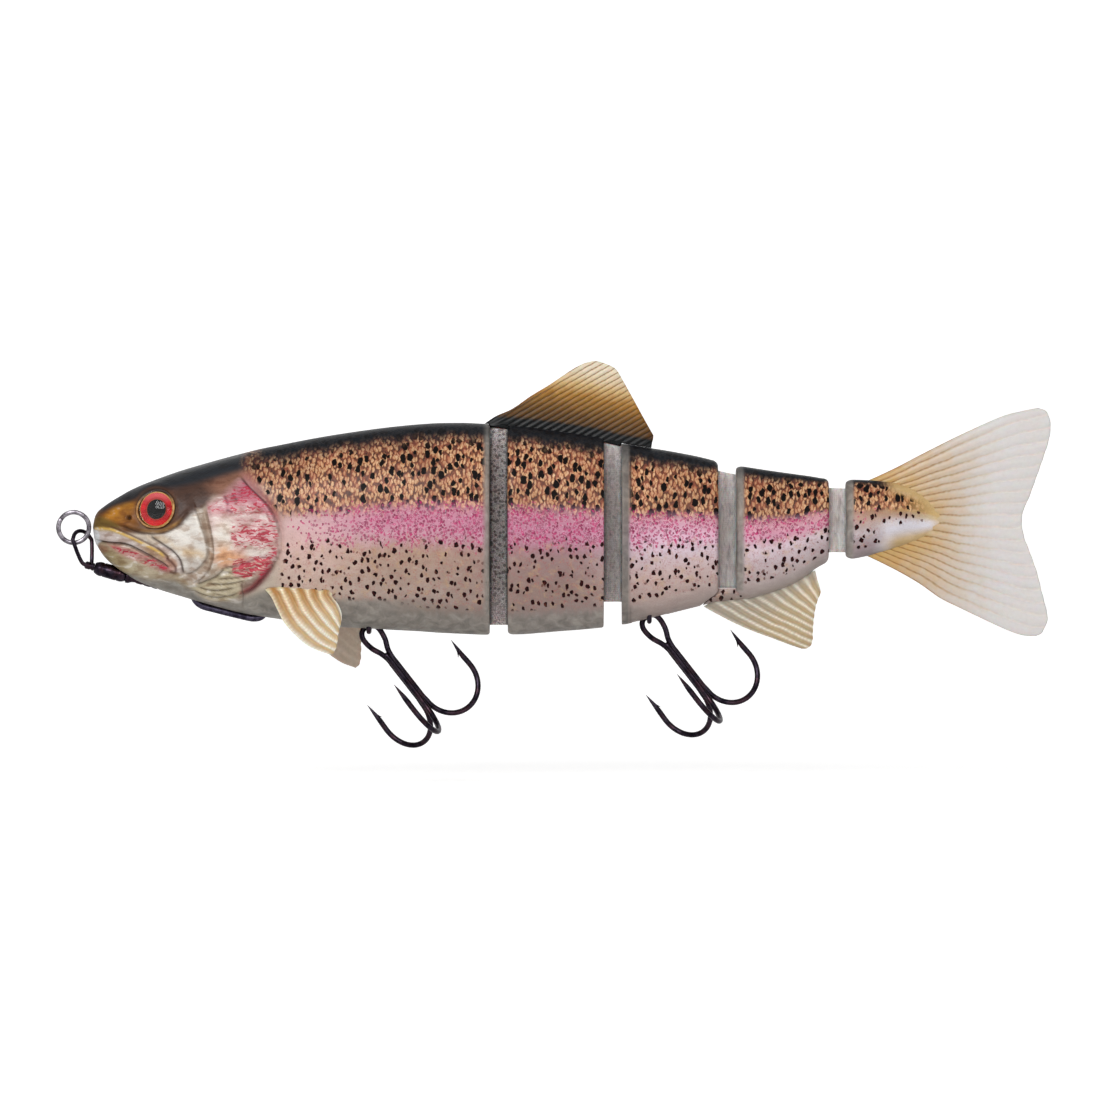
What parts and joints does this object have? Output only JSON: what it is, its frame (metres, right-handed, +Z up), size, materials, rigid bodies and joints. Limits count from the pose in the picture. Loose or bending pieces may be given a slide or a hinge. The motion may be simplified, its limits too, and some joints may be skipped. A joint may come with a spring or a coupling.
{
  "type": "jointed swimbait",
  "caption": "Trout-shaped soft swimbait: moulded sections hinged on woven webs, soft fins, line ring on a swivel, and treble hooks under head and middle.",
  "frame": {"origin": "centre of the whole lure's box", "axes": "+X from nose to tail, +Z up through the dorsal fin, +Y towards the fish's right side"},
  "size_m": [0.187, 0.0314, 0.0728],
  "materials": {
    "skin": "printed soft PVC, satin to gloss",
    "tail_skin": "clear soft PVC with printed root",
    "fin_membrane": "translucent soft PVC, ribbed",
    "joint_fabric": "woven mesh set in clear PVC",
    "eye_print": "printed disc",
    "eye_clear": "clear dome",
    "ring_steel": "bright spring steel",
    "black_nickel": "black nickel plate",
    "lead": "cast lead"
  },
  "bodies": {
    "head": {"head_section": "skin", "eye_disc_left": "eye_print", "eye_disc_right": "eye_print", "eye_lens_left": "eye_clear", "eye_lens_right": "eye_clear", "pectoral_fin_left": "fin_membrane", "pectoral_fin_right": "fin_membrane", "swivel_barrel": "black_nickel", "harness_sleeve": "black_nickel", "through_wire": "ring_steel", "belly_staple": "black_nickel", "front_hook_hanger": "black_nickel", "ballast_weight": "lead", "joint_mesh_1": "joint_fabric"},
    "front_body": {"mid_section_front": "skin", "dorsal_fin": "fin_membrane", "joint_mesh_2": "joint_fabric"},
    "middle_body": {"mid_section_rear": "skin", "rear_hook_hanger": "black_nickel", "joint_mesh_3": "joint_fabric"},
    "rear_body": {"rear_section": "skin", "anal_fin": "fin_membrane", "joint_mesh_4": "joint_fabric"},
    "tail": {"tail_section": "tail_skin"},
    "swivel": {"swivel_eye": "black_nickel"},
    "line_ring": {"split_ring": "ring_steel"},
    "front_hook": {"front_treble_hook": "black_nickel"},
    "rear_hook": {"rear_treble_hook": "black_nickel"}
  },
  "joints": [
    {"name": "body_joint_1", "type": "hinge", "parent": "head", "child": "front_body", "pos_m": [-0.0103, 0, 0.00461], "axis": [0, 0, 1], "range_deg": [-18, 18], "deforming": ["joint_mesh_1"]},
    {"name": "body_joint_2", "type": "hinge", "parent": "front_body", "child": "middle_body", "pos_m": [0.01111, 0, 0.00461], "axis": [0, 0, 1], "range_deg": [-20, 20], "deforming": ["joint_mesh_2"]},
    {"name": "body_joint_3", "type": "hinge", "parent": "middle_body", "child": "rear_body", "pos_m": [0.03256, 0, 0.00461], "axis": [0, 0, 1], "range_deg": [-25, 25], "deforming": ["joint_mesh_3"]},
    {"name": "body_joint_4", "type": "hinge", "parent": "rear_body", "child": "tail", "pos_m": [0.05326, 0, 0.00461], "axis": [0, 0, 1], "range_deg": [-30, 30], "deforming": ["joint_mesh_4"]},
    {"name": "front_hook_swing", "type": "hinge", "parent": "head", "child": "front_hook", "pos_m": [-0.03468, 0, -0.01446], "axis": [0, 1, 0], "range_deg": [-5, 75]},
    {"name": "rear_hook_swing", "type": "hinge", "parent": "middle_body", "child": "rear_hook", "pos_m": [0.01798, 0, -0.01251], "axis": [0, 1, 0], "range_deg": [-5, 75]},
    {"name": "swivel_spin", "type": "hinge", "parent": "head", "child": "swivel", "pos_m": [-0.08624, 0, -0.00239], "axis": [0.9622, 0, -0.2725], "continuous": true},
    {"name": "ring_swing", "type": "hinge", "parent": "swivel", "child": "line_ring", "pos_m": [-0.0889, 0, 0.00461], "axis": [0, 1, 0], "range_deg": [-40, 20]}
  ]
}
